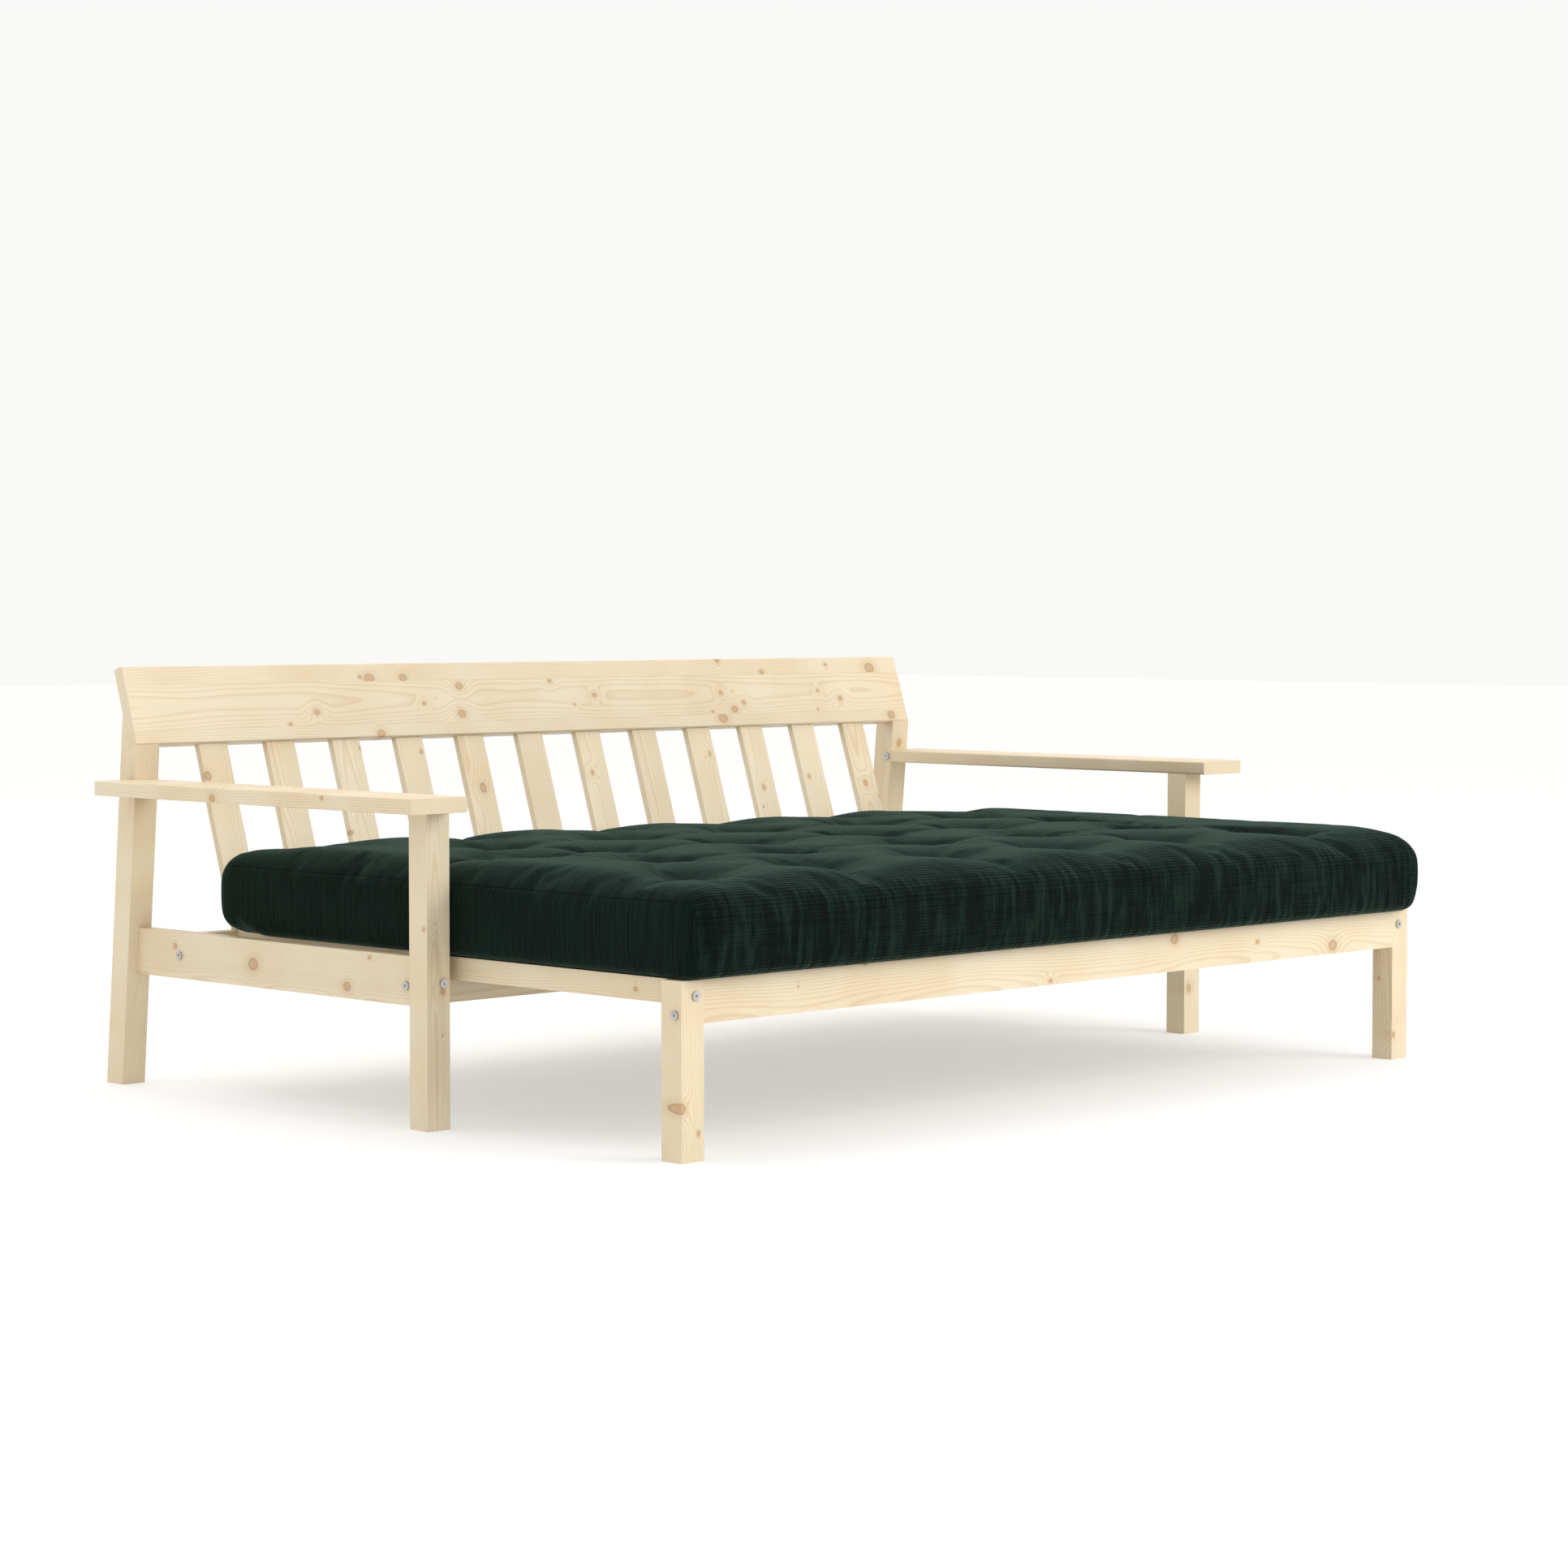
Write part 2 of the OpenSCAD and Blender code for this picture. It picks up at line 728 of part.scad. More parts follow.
arm_post(-1);  // left_arm_post
arm_post(1);  // right_arm_post
rear_leg(-1);  // left_rear_leg
rear_leg(1);  // right_rear_leg
side_rail(-1);  // left_side_rail
side_rail(1);  // right_side_rail
armrest(-1);  // left_armrest
armrest(1);  // right_armrest
back_plank();
rear_cross_rail();
front_cross_rail();
rear_slat_ledger();
fixed_seat_slats();
for (i = [0 : slat_count - 1])
    back_slat(i);
back_slat_dowels();
armrest_dowels();
frame_bolts();
frame_barrel_nuts();
frame_wood_screws();
pullout_leg(-1);  // left_pullout_leg
pullout_leg(1);  // right_pullout_leg
pullout_front_rail();
pullout_slat_ledger();
pullout_side_rail(-1);  // left_pullout_side_rail
pullout_side_rail(1);  // right_pullout_side_rail
pullout_rear_bar();
for (i = [0 : slat_count - 2])
    pullout_slat(i);
pullout_bolts();
pullout_barrel_nuts();
pullout_wood_screws();
mattress_seat();
mattress_fold();
mattress_back();
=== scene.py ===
"""A pine futon sofa bed, pulled out: eased timber, zinc bolts and one tufted corduroy futon."""

import json
import math
import random

import bpy
import numpy as np
from mathutils import Matrix, Vector, noise


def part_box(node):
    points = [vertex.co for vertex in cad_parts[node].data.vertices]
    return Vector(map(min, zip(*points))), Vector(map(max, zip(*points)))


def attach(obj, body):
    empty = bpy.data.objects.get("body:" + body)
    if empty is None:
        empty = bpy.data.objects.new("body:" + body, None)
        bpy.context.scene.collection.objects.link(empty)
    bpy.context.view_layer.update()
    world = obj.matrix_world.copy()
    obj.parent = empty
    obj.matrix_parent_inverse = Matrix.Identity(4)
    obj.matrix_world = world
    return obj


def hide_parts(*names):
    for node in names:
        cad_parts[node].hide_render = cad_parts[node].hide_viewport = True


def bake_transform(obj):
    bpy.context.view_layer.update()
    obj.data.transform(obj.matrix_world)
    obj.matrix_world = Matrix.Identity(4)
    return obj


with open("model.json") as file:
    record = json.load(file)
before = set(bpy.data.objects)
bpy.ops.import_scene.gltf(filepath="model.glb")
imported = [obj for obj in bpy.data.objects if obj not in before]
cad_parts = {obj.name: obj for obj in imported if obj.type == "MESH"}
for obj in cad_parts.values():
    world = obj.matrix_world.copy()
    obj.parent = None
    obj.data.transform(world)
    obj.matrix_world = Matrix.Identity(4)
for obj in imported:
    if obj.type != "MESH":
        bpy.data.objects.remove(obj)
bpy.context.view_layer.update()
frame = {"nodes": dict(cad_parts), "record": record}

# ---- Directions that several pieces share ----

LEAN_BACK = math.radians(18)
LEAN_LEG = math.radians(5)
ACROSS = Vector((1, 0, 0))
DEPTH = Vector((0, 1, 0))
UP = Vector((0, 0, 1))
UP_BACK = Vector((0, math.sin(LEAN_BACK), math.cos(LEAN_BACK)))
UP_LEG = Vector((0, -math.sin(LEAN_LEG), math.cos(LEAN_LEG)))


# ---- Writing a finish as a formula ----


class Number:
    """A value inside a finish. Sums on it become the finish's own Math nodes."""

    def __init__(self, finish, socket):
        self.finish, self.socket = finish, socket

    def sum(self, operation, *values):
        return self.finish.node("ShaderNodeMath", {"operation": operation}, dict(enumerate(values)))

    def __add__(self, other):
        return self.sum("ADD", self, other)

    def __sub__(self, other):
        return self.sum("SUBTRACT", self, other)

    def __mul__(self, other):
        return self.sum("MULTIPLY", self, other)

    def __radd__(self, other):
        return self.sum("ADD", other, self)

    def __rsub__(self, other):
        return self.sum("SUBTRACT", other, self)

    def __rmul__(self, other):
        return self.sum("MULTIPLY", other, self)

    def power(self, other):
        return self.sum("POWER", self, other)

    def least(self, other):
        return self.sum("MINIMUM", self, other)

    def most(self, other):
        return self.sum("MAXIMUM", self, other)

    def fraction(self):
        return self.sum("FRACT", self)

    def size(self):
        return self.sum("ABSOLUTE", self)

    def wave(self):
        return self.sum("SINE", self)

    def root(self):
        return self.sum("SQRT", self)

    def bell(self, width):
        """1 at zero, falling away smoothly over width."""
        return self.finish.node(
            "ShaderNodeMath", {"operation": "EXPONENT"}, {0: (self * self) * (-1 / (width * width))}
        )

    def ease(self, low, high):
        """0 below low, 1 above high and smooth between; low may be the larger."""
        return self.finish.node(
            "ShaderNodeMapRange",
            {"interpolation_type": "SMOOTHSTEP", "clamp": True},
            {"Value": self, "From Min": low, "From Max": high, "To Min": 0.0, "To Max": 1.0},
        )


class Finish:
    """One material, built from nodes."""

    def __init__(self, name):
        self.material = bpy.data.materials.new(name)
        self.material.use_nodes = True
        self.tree = self.material.node_tree
        self.tree.nodes.clear()

    def node(self, kind, settings=None, inputs=None, output=0):
        """Adds a node. Its settings are set first, then the values or links of its sockets."""
        made = self.tree.nodes.new(kind)
        for key, value in (settings or {}).items():
            setattr(made, key, value)
        for key, value in (inputs or {}).items():
            if isinstance(value, Number):
                self.tree.links.new(value.socket, made.inputs[key])
            else:
                made.inputs[key].default_value = value
        return Number(self, made.outputs[output]) if len(made.outputs) else None

    def vector(self, operation, *values, output=0):
        inputs = dict(enumerate(values))
        return self.node("ShaderNodeVectorMath", {"operation": operation}, inputs, output)

    def parts(self, vector):
        """A vector's three numbers."""
        split = self.tree.nodes.new("ShaderNodeSeparateXYZ")
        self.tree.links.new(vector.socket, split.inputs[0])
        return [Number(self, split.outputs[i]) for i in range(3)]

    def place(self):
        """Where a point is, in the object's own coordinates."""
        return self.node("ShaderNodeTexCoord", output="Object")

    def noise(self, vector, scale, detail=2.0, roughness=0.5):
        return self.node(
            "ShaderNodeTexNoise",
            None,
            {"Vector": vector, "Scale": scale, "Detail": detail, "Roughness": roughness},
        )

    def mix(self, share, first, second):
        """One colour fading into another."""
        made = self.tree.nodes.new("ShaderNodeMix")
        made.data_type = "RGBA"
        for socket, value in zip(
            (made.inputs[0], made.inputs[6], made.inputs[7]), (share, first, second)
        ):
            if isinstance(value, Number):
                self.tree.links.new(value.socket, socket)
            else:
                socket.default_value = value
        return Number(self, made.outputs[2])

    def surface(self, height=None, depth=0.001, strength=1.0, **sockets):
        """The finish's shader: sockets are the Principled BSDF's own, by name."""
        inputs = {key.replace("_", " "): value for key, value in sockets.items()}
        if height is not None:
            inputs["Normal"] = self.node(
                "ShaderNodeBump", None, {"Height": height, "Distance": depth, "Strength": strength}
            )
        shader = self.node("ShaderNodeBsdfPrincipled", None, inputs)
        self.node("ShaderNodeOutputMaterial", None, {"Surface": shader})
        return self.material


# ---- Pine, lacquered clear ----

EARLY_WOOD = (0.740, 0.638, 0.465, 1)
EARLY_DEEP = (0.690, 0.566, 0.380, 1)
LATE_WOOD = (0.565, 0.405, 0.212, 1)
KNOT_HEART = (0.520, 0.335, 0.175, 1)
KNOT_RIM = (0.270, 0.150, 0.070, 1)
RING_GAP = 0.0034
# How far the rings wander along a board, and how fast they taper towards the crown
SWAY, TAPER = 0.024, 0.006
# How far a knot pushes the rings aside, over how many of its own radii, and how it narrows inwards
KNOT_PUSH, KNOT_REACH, KNOT_TAPER = 0.010, 3.2, 0.22
# Distance along the grain counts for this much in a knot, which draws it out that way
KNOT_STRETCH = 0.8
# How far apart two neighbouring staves stood in the tree
STAVE_STEP = 0.12
# Half the width of the glue line between staves, and of the change of grain there
GLUE_LINE, GRAIN_CHANGE = 0.0005, 0.0002


def pine(name, centre, along, wide, seed, knots=(), pith=None, joints=()):
    """Pine for one board. along is the way its grain runs and wide its width. Each knot is
    (along, wide, radius, axis, face), from the board's middle: its axis is the way it goes in, and
    it tapers away from its face, or goes right through if that is None.
    Joints are the places across a board where its staves are glued edge to edge."""
    dice = random.Random(seed)
    finish = Finish(name)
    thick = along.cross(wide)
    turn = Matrix((along, wide, thick)).transposed().to_euler()
    board = finish.node(
        "ShaderNodeMapping",
        {"vector_type": "TEXTURE"},
        {"Vector": finish.place(), "Location": centre, "Rotation": turn},
    )
    u, v, w = finish.parts(board)
    shift = Vector((dice.uniform(0, 40), dice.uniform(0, 40), dice.uniform(0, 40)))

    def stretched(by):
        """The place on the board, drawn out along the grain and moved by this board's own shift."""
        return finish.vector("ADD", finish.vector("MULTIPLY", board, by), tuple(shift))

    moved = stretched((1, 0.35, 0.35))
    stave = None
    for joint in joints:
        beyond = v.ease(joint - GRAIN_CHANGE, joint + GRAIN_CHANGE)
        stave = beyond if stave is None else stave + beyond
    if stave is not None:
        moved = finish.vector("MULTIPLY_ADD", stave, (13.0, 5.0, 8.0), moved)
    bend = finish.noise(moved, 2.6, 2.0)
    sway = finish.noise(finish.vector("ADD", moved, (9, 3, 5)), 2.1, 1.0)
    fine = finish.noise(stretched((9, 40, 40)), 1.0, 2.0)
    if pith is None:
        pith = (dice.uniform(-0.06, 0.06), dice.choice((-1, 1)) * dice.uniform(0.03, 0.08))
    nearest = None
    for k_along, k_wide, radius, axis, face in knots:
        fade, start = (0, 0) if face is None else (KNOT_TAPER, face)
        keep = (KNOT_STRETCH, 1, fade) if axis == "thick" else (KNOT_STRETCH, fade, 1)
        spot = (k_along, k_wide, start) if axis == "thick" else (k_along, start, k_wide)
        away = finish.vector("SUBTRACT", board, spot)
        flat = finish.vector("MULTIPLY", away, tuple(k / radius for k in keep))
        far = finish.vector("LENGTH", flat, output=1)
        if any(abs(k_wide - joint) < 3 * radius for joint in joints):
            far = far + (stave - sum(k_wide > joint for joint in joints)).size() * 9
        nearest = far if nearest is None else nearest.least(far)
    out_v = v - pith[0] + (bend - 0.5) * SWAY
    out_w = w - pith[1] + (sway - 0.5) * SWAY
    if stave is not None:
        out_v = out_v - (stave - 1) * STAVE_STEP
    radius = (out_v * out_v + out_w * out_w).root() + u * TAPER + (fine - 0.5) * 0.0010
    if nearest is not None:
        radius = radius + nearest.bell(KNOT_REACH) * KNOT_PUSH
    ring = (radius * (1 / RING_GAP)).fraction()
    late = ring.ease(0.45, 0.90) * ring.ease(1.0, 0.92)
    fibre = finish.noise(stretched((14, 420, 420)), 1.0, 3.0, 0.6)
    patch = finish.noise(finish.vector("ADD", moved, (2, 7, 1)), 5.0, 2.0)
    early = finish.mix(patch.ease(0.35, 0.75), EARLY_WOOD, EARLY_DEEP)
    strength = 0.20 + patch * 0.42
    colour = finish.mix(late * strength, early, LATE_WOOD)
    colour = finish.mix(fibre.ease(0.35, 0.80) * 0.13, colour, LATE_WOOD)
    height = late * 0.5 + fibre * 0.5
    for joint in joints:
        line = (v - joint).bell(GLUE_LINE)
        colour = finish.mix(line * 0.45, colour, LATE_WOOD)
    if nearest is not None:
        halo = nearest.ease(3.0, 1.0) * 0.38
        colour = finish.mix(halo, colour, LATE_WOOD)
        inner = (nearest * 4.2 + (fine - 0.5) * 1.2).fraction().ease(0.2, 0.9) * 0.5
        heart = finish.mix(inner, KNOT_HEART, LATE_WOOD)
        colour = finish.mix(nearest.ease(1.08, 0.86), colour, heart)
        rim = (nearest - 0.96).bell(0.16) * (patch * 1.5 - 0.35).most(0.0).least(0.8)
        colour = finish.mix(rim, colour, KNOT_RIM)
        height = height - rim * 0.8
    return finish.surface(
        height,
        depth=0.00012,
        strength=0.5,
        Base_Color=colour,
        Roughness=0.40 + fibre * 0.14,
        IOR=1.48,
        Coat_Weight=0.12,
        Coat_Roughness=0.22,
    )


def chance_knots(seed, length, width, count, big=0.008):
    """A few small knots anywhere on a board."""
    dice = random.Random(seed * 7 + 3)
    return [
        (
            dice.uniform(-0.46, 0.46) * length,
            dice.uniform(-0.38, 0.38) * width,
            dice.uniform(0.35, 1.0) * big,
            "thick",
            None,
        )
        for _ in range(count)
    ]


def clear_selection():
    if bpy.context.object and bpy.context.object.mode != "OBJECT":
        bpy.ops.object.mode_set(mode="OBJECT")
    bpy.ops.object.select_all(action="DESELECT")


def chosen(piece):
    clear_selection()
    piece.select_set(True)
    bpy.context.view_layer.objects.active = piece


def timber(node, body, material, ease):
    """The board's own shape with eased edges, in place of the plain one."""
    cad = frame["nodes"][node]
    piece = cad.copy()
    piece.data = cad.data.copy()
    for key in list(piece.keys()):
        del piece[key]
    piece.name = piece.data.name = node + "_timber"
    piece.parent = None
    bpy.context.scene.collection.objects.link(piece)
    piece.matrix_world = Matrix.Identity(4)
    chosen(piece)
    bpy.ops.object.mode_set(mode="EDIT")
    bpy.ops.mesh.select_all(action="SELECT")
    bpy.ops.mesh.remove_doubles(threshold=0.00002)
    bpy.ops.mesh.dissolve_limited(angle_limit=math.radians(1.5))
    bpy.ops.object.mode_set(mode="OBJECT")
    bevel = piece.modifiers.new("eased_edges", "BEVEL")
    bevel.width, bevel.segments, bevel.limit_method = ease, 2, "ANGLE"
    bevel.angle_limit = math.radians(50)
    bpy.ops.object.modifier_apply(modifier=bevel.name)
    bpy.ops.object.shade_smooth_by_angle(angle=math.radians(28))
    piece.data.materials.clear()
    piece.data.materials.append(material)
    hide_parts(node)
    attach(piece, body)


def middle(node):
    low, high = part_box(node)
    return (low + high) / 2


body_of_node = {
    node: body
    for body, nodes in frame["record"]["behaviour"]["bodies"].items()
    for node in nodes
}
# Width of the eased edges: legs, rails and slats, then the crisper armrests and back plank
EASED, CRISP = 0.0016, 0.0006


def board(node, along, wide, seed, knots=(), pith=None, ease=EASED, joints=()):
    """One piece of timber in its own pine."""
    material = pine("pine_" + node, middle(node), along, wide, seed, knots, pith, joints)
    timber(node, body_of_node[node], material, ease)


# A knot's core is drawn at this share of its listed radius: its rim and halo reach beyond the core
KNOT_CORE = 0.78


def through(axis, *places, face=None):
    """Knots that all go into a board the same way."""
    return [(along, wide, radius * KNOT_CORE, axis, face) for along, wide, radius in places]


PLANK_KNOTS = (
    (-0.471, 0.046, 0.005),
    (-0.450, 0.042, 0.0125),
    (-0.368, 0.043, 0.0085),
    (-0.234, 0.024, 0.009),
    (-0.241, -0.031, 0.010),
    (-0.329, -0.009, 0.0045),
    (-0.590, -0.021, 0.0065),
    (-0.656, -0.043, 0.0045),
    (-0.448, -0.066, 0.010),
    (0.000, 0.031, 0.005),
    (0.111, 0.000, 0.0055),
    (0.053, -0.018, 0.003),
    (0.471, 0.069, 0.0065),
    (0.593, 0.042, 0.0065),
    (0.461, -0.001, 0.0055),
    (0.521, -0.023, 0.0055),
    (0.491, -0.037, 0.0085),
    (0.427, -0.041, 0.0035),
    (0.452, -0.055, 0.0125),
    (0.788, 0.056, 0.0045),
    (0.920, 0.047, 0.0135),
    (0.747, -0.001, 0.004),
    (0.810, -0.019, 0.0065),
    (0.735, -0.042, 0.003),
    (0.955, -0.059, 0.011),
)
FRONT_RAIL_KNOTS = (
    (-0.541, 0.034, 0.0040),
    (-0.085, -0.027, 0.0045),
    (0.249, 0.023, 0.0105),
    (0.487, 0.003, 0.0050),
    (0.714, -0.018, 0.0120),
    (-0.695, 0.008, 0.0020),
)
SIDE_RAIL_KNOTS = (
    (0.278, 0.016, 0.0055),
    (0.052, -0.001, 0.0130),
    (-0.207, -0.021, 0.0100),
    (-0.267, 0.032, 0.004),
)
SLAT_KNOTS = {
    1: ((0.105, -0.025, 0.008),),
    3: ((0.147, 0.030, 0.004), (-0.014, -0.030, 0.0045)),
    4: ((0.136, 0.023, 0.0045),),
    5: ((0.060, 0.005, 0.009),),
    7: ((0.081, -0.010, 0.005),),
    9: ((0.110, 0.017, 0.0045),),
    10: ((0.034, -0.002, 0.006), (-0.007, -0.015, 0.003)),
    11: ((0.053, -0.014, 0.005),),
    12: ((0.153, -0.037, 0.004), (0.033, -0.002, 0.0075), (0.002, 0.034, 0.006)),
}

# A leg's knots start at about its left or front face, this far from its middle, and taper inwards
LEFT_FACE, FRONT_FACE = 0.024, 0.022
left_post_knots = through("wide", (0.070, -0.015, 0.0038), face=-LEFT_FACE) + through(
    "thick", (-0.033, 0.009, 0.0062), (-0.105, 0.008, 0.002), face=-FRONT_FACE
)
left_rear_knots = through(
    "thick", (-0.224, -0.015, 0.0050), (0.110, 0.008, 0.003), face=LEFT_FACE
)
left_pullout_knots = through(
    "thick", (-0.056, -0.023, 0.0085), (-0.097, 0.012, 0.0045), face=-FRONT_FACE
)
right_pullout_knots = through("wide", (0.012, 0.008, 0.0035), face=-LEFT_FACE) + through(
    "thick", (-0.094, -0.018, 0.0055), face=-FRONT_FACE
)
left_armrest_knots = through("wide", (0.093, 0.005, 0.0080), (-0.208, -0.006, 0.0040))

# Legs, rails and armrests
board("left_arm_post", UP, ACROSS, 11, left_post_knots)
board("right_arm_post", UP, ACROSS, 12, chance_knots(12, 0.52, 0.04, 3))
board("left_rear_leg", UP_LEG, DEPTH, 13, left_rear_knots)
board("right_rear_leg", UP_LEG, DEPTH, 14, chance_knots(14, 0.6, 0.04, 3))
board("left_side_rail", DEPTH, UP, 15, through("thick", *SIDE_RAIL_KNOTS))
board("right_side_rail", DEPTH, UP, 16, chance_knots(16, 0.8, 0.07, 4, 0.010))
left_armrest_knots += chance_knots(17, 0.85, 0.10, 3, 0.006)
board("left_armrest", DEPTH, ACROSS, 17, left_armrest_knots, ease=CRISP)
board("right_armrest", DEPTH, ACROSS, 18, chance_knots(18, 0.85, 0.10, 4, 0.006), ease=CRISP)
board(
    "back_plank",
    ACROSS,
    UP_BACK,
    19,
    through("thick", *PLANK_KNOTS),
    pith=(0.0, -0.055),
    ease=CRISP,
    joints=(-0.047, 0.037),
)
board("rear_cross_rail", ACROSS, UP, 20, chance_knots(20, 1.9, 0.07, 7, 0.010))
board("front_cross_rail", ACROSS, UP, 21, chance_knots(21, 1.9, 0.05, 6, 0.008))
board("rear_slat_ledger", ACROSS, UP, 22)
board("left_pullout_leg", UP, ACROSS, 23, left_pullout_knots)
board("right_pullout_leg", UP, ACROSS, 24, right_pullout_knots)
board("pullout_front_rail", ACROSS, UP, 25, through("thick", *FRONT_RAIL_KNOTS))
board("pullout_slat_ledger", ACROSS, UP, 26)
board("left_pullout_side_rail", DEPTH, UP, 27, through("thick", (-0.234, -0.002, 0.0045)))
board("right_pullout_side_rail", DEPTH, UP, 28)
board("pullout_rear_bar", ACROSS, UP, 29)
for n in range(1, 13):
    board(f"back_slat_{n}", UP_BACK, ACROSS, 40 + n, through("thick", *SLAT_KNOTS.get(n, ())))
for n in range(1, 12):
    board(f"pullout_slat_{n}", DEPTH, ACROSS, 60 + n, chance_knots(60 + n, 0.6, 0.06, 2))
board("fixed_seat_slats", DEPTH, ACROSS, 80, chance_knots(80, 0.6, 1.9, 9))


# ---- Zinc-plated steel, and the beech dowels ----


def zinc():
    finish = Finish("zinc_plate")
    where = finish.place()
    cloud = finish.noise(where, 220.0, 3.0)
    scratch = finish.noise(finish.vector("MULTIPLY", where, (900, 120, 900)), 1.0, 2.0)
    colour = finish.mix(cloud.ease(0.3, 0.7), (0.40, 0.40, 0.39, 1), (0.56, 0.55, 0.53, 1))
    return finish.surface(
        scratch,
        depth=0.00003,
        strength=0.3,
        Base_Color=colour,
        Metallic=1.0,
        Roughness=0.20 + cloud * 0.16,
    )


def beech():
    finish = Finish("beech_dowel")
    where = finish.place()
    fleck = finish.noise(finish.vector("MULTIPLY", where, (500, 500, 60)), 1.0, 2.0)
    colour = finish.mix(fleck.ease(0.35, 0.7), (0.62, 0.42, 0.25, 1), (0.50, 0.31, 0.16, 1))
    return finish.surface(fleck, depth=0.0001, strength=0.4, Base_Color=colour, Roughness=0.62)


zinc_plate, beech_wood = zinc(), beech()
for node, cad in frame["nodes"].items():
    if "dowel" in node:
        cad.data.materials.clear()
        cad.data.materials.append(beech_wood)
    if "bolt" in node or "nut" in node or "screw" in node:
        cad.data.materials.clear()
        cad.data.materials.append(zinc_plate)

# ---- The futon ----

seat_low, seat_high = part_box("mattress_seat")
fold_low, fold_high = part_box("mattress_fold")
FUTON_LOW = seat_low.z
FUTON_FRONT, FUTON_REAR = seat_low.y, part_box("mattress_back")[1].y
FUTON_HALF = seat_high.x
FUTON_THICK = seat_high.z - seat_low.z
FOLD_Y = (fold_low.y + fold_high.y) / 2

# The cover before it is filled: how far its front stands out, its height and its remesh size
FRONT_OUT, BLOCK_HIGH, VOXEL = 0.008, 0.145, 0.011
CORNER, TOP_EDGE, UNDER_EDGE, REAR_UNDER_EDGE = 0.046, 0.050, 0.005, 0.046
# The rear under edge is rounder, so that it clears the backrest.
# It starts to round this far ahead of the rear, and is fully round this much further back
ROUND_AHEAD, ROUND_OVER = 0.14, 0.09

# What ties the filling down: a dip at each tuft and a furrow along each row, as depth and width
TUFT_DIP, TUFT_WIDE = 0.019, 0.050
FURROW_DIP, FURROW_WIDE = 0.004, 0.030
FURROW_FADE = 0.06
TIE_RADIUS = 0.009
UNDERSIDE = 0.012
# The filling: steps of simulation, the most that it moves a point, and its share at the borders
STEPS, MOST_MOVE, BORDER_GIVE = 20, 0.020, 0.25

# Each border's axis, side and place, how far its belly bulges, and the furthest it may reach
BORDERS = (
    (0, -1, FUTON_HALF, 0.008, FUTON_HALF + 0.007),
    (0, 1, FUTON_HALF, 0.008, FUTON_HALF + 0.007),
    (1, -1, FRONT_OUT - FUTON_FRONT, 0.020, 0.025 - FUTON_FRONT),
    (1, 1, FUTON_REAR, 0.004, FUTON_REAR + 0.006),
)
BORDER_ZONE, BELLY_REACH = 0.09, 0.045
HIGHEST = FUTON_LOW + 0.162
# How gently a border is stopped at its limit
SOFT_STOP = 0.014
# The shallow hollow under the fold, as depth, half-width and distance ahead of the fold
HOLLOW_DIP, HOLLOW_WIDE, HOLLOW_AHEAD = 0.002, 0.022, 0.012

# The cover: depth of its wide and narrow pleats, and the seam of its ends
WIDE_PLEAT, NARROW_PLEAT = 0.0060, 0.0045
SEAM_Z, SEAM_WIDE = FUTON_LOW + 0.119, 0.0016
# Its ribs: how far apart they are, and the radius on which they go over the front and rear edges
WALE, RIB_TURN = 0.0052, 0.055

# Tufts: distance from the futon's front edge, then the places across it
TUFTS = {
    1.065: (-0.780, -0.462, -0.128, 0.180, 0.488, 0.800),
    0.840: (-0.625, -0.300, 0.020, 0.335, 0.650),
    0.615: (-0.780, -0.545, -0.230, 0.085, 0.390, 0.700),
    0.385: (-0.640, -0.345, -0.020, 0.300, 0.610),
    0.160: (-0.800, -0.510, -0.200, 0.100, 0.392, 0.705),
}
tuft_places = np.array([(x, FUTON_FRONT + y) for y, row in TUFTS.items() for x in row])


def read_points(piece, what):
    values = np.empty(len(piece.data.vertices) * 3)
    piece.data.vertices.foreach_get(what, values)
    return values.reshape(-1, 3)


def points_of(piece):
    return read_points(piece, "co")


def normals_of(piece):
    return read_points(piece, "normal")


def put_points(piece, co):
    piece.data.vertices.foreach_set("co", co.ravel())
    piece.data.update()


def near_tuft(co):
    """Distance of every point to its nearest tuft, seen from above."""
    gap = np.full(len(co), np.inf)
    for place in tuft_places:
        gap = np.minimum(gap, np.hypot(co[:, 0] - place[0], co[:, 1] - place[1]))
    return gap


def futon_block():
    """The cover before it is filled: a block with rounded corners and edges."""
    low = Vector((-FUTON_HALF, FUTON_FRONT - FRONT_OUT, FUTON_LOW))
    high = Vector((FUTON_HALF, FUTON_REAR, FUTON_LOW + BLOCK_HIGH))
    clear_selection()
    bpy.ops.mesh.primitive_cube_add(size=1, location=(low + high) / 2)
    piece = bpy.context.object
    piece.name = piece.data.name = "futon"
    piece.scale = high - low
    bpy.ops.object.transform_apply(location=True, rotation=True, scale=True)
    chosen(piece)
    piece.data.remesh_voxel_size = VOXEL
    bpy.ops.object.voxel_remesh()
    co = points_of(piece)
    near_rear = np.clip((co[:, 1] - high.y + ROUND_AHEAD) / ROUND_OVER, 0, 1)
    under = UNDER_EDGE + (REAR_UNDER_EDGE - UNDER_EDGE) * near_rear**2 * (3 - 2 * near_rear)
    border = np.array(((low.x, high.x), (low.y, high.y))) + (CORNER, -CORNER)
    core = co.copy()
    core[:, 0] = np.clip(co[:, 0], *border[0])
    core[:, 1] = np.clip(co[:, 1], *border[1])
    core[:, 2] = np.clip(co[:, 2], low.z + under, high.z - TOP_EDGE)
    away = co - core
    upright = np.where(away[:, 2] < 0, under, TOP_EDGE)
    share = away / np.column_stack((np.full((len(co), 2), CORNER), upright))
    rounded = np.abs(share).max(axis=1) / np.maximum(np.linalg.norm(share, axis=1), 1e-9)
    put_points(piece, core + away * rounded[:, None])
    return piece


